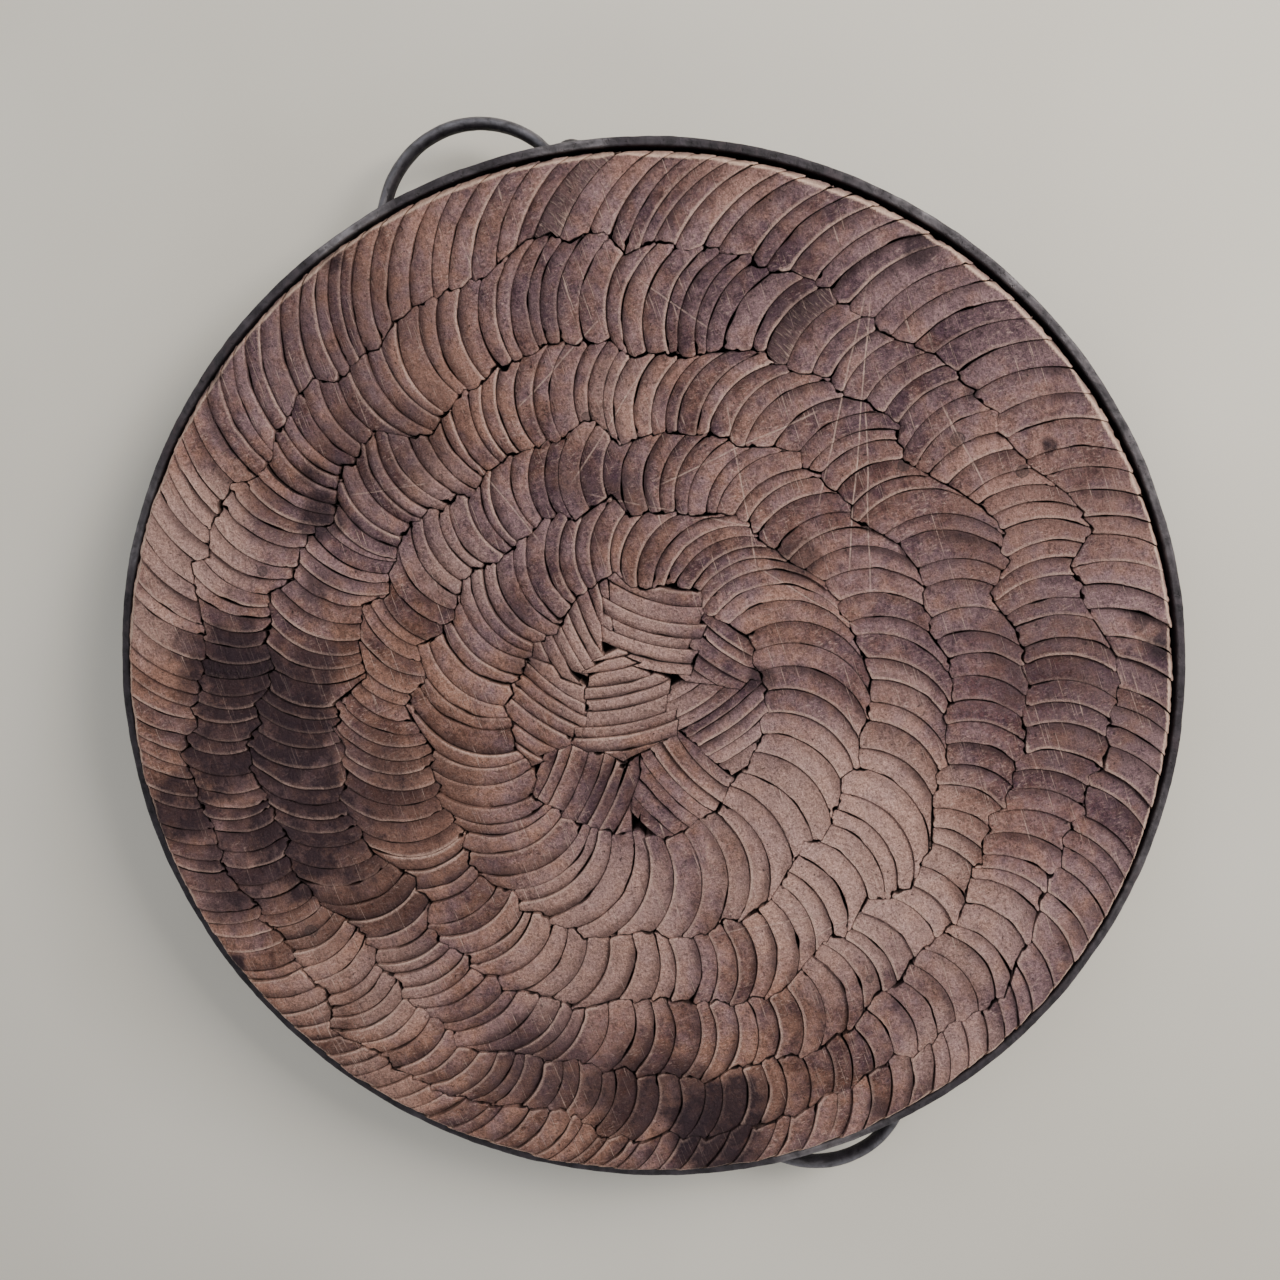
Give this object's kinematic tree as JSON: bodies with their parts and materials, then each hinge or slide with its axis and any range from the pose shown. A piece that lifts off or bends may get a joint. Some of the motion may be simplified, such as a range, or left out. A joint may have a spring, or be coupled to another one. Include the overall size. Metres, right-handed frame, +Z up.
{
  "type": "leather cutting block",
  "caption": "Round leather worker's cutting and punching block: leather offcuts on edge, squeezed into a forged iron hoop with two riveted side handles",
  "frame": {"origin": "on the underside of the hoop, on the hoop's axis", "axes": "+Z is up out of the working face; X runs through the handles, the right handle on +X; the block lies on its underside"},
  "size_m": [0.53, 0.48, 0.059],
  "materials": {
    "hoop_iron": "forged strap iron, black-brown oxide with rust mottling and rubbed edges",
    "handle_iron": "forged bar worn smooth and grey by hands, dark in the hollows",
    "rivet_iron": "hand-set domed rivets, dark oxide",
    "leather": "vegetable-tanned leather on its cut edge, matt, dusty rose-brown with black dye stains, scratches and punch marks"
  },
  "bodies": {
    "root": {"hoop": "hoop_iron", "right_handle": "handle_iron", "left_handle": "handle_iron", "right_handle_rivets": "rivet_iron", "left_handle_rivets": "rivet_iron", "leather_ring_1_a": "leather", "leather_ring_1_b": "leather", "leather_ring_1_c": "leather", "leather_ring_1_d": "leather", "leather_ring_2_a": "leather", "leather_ring_2_b": "leather", "leather_ring_2_c": "leather", "leather_ring_2_d": "leather", "leather_ring_3_a": "leather", "leather_ring_3_b": "leather", "leather_ring_3_c": "leather", "leather_ring_3_d": "leather", "leather_ring_4_a": "leather", "leather_ring_4_b": "leather", "leather_ring_4_c": "leather", "leather_ring_4_d": "leather", "leather_ring_5_a": "leather", "leather_ring_5_b": "leather", "leather_ring_5_c": "leather", "leather_ring_5_d": "leather", "leather_centre_1": "leather", "leather_centre_2": "leather", "leather_centre_3": "leather", "leather_centre_4": "leather", "leather_centre_5": "leather", "leather_centre_6": "leather", "leather_centre_7": "leather", "leather_centre_8": "leather"}
  },
  "joints": []
}
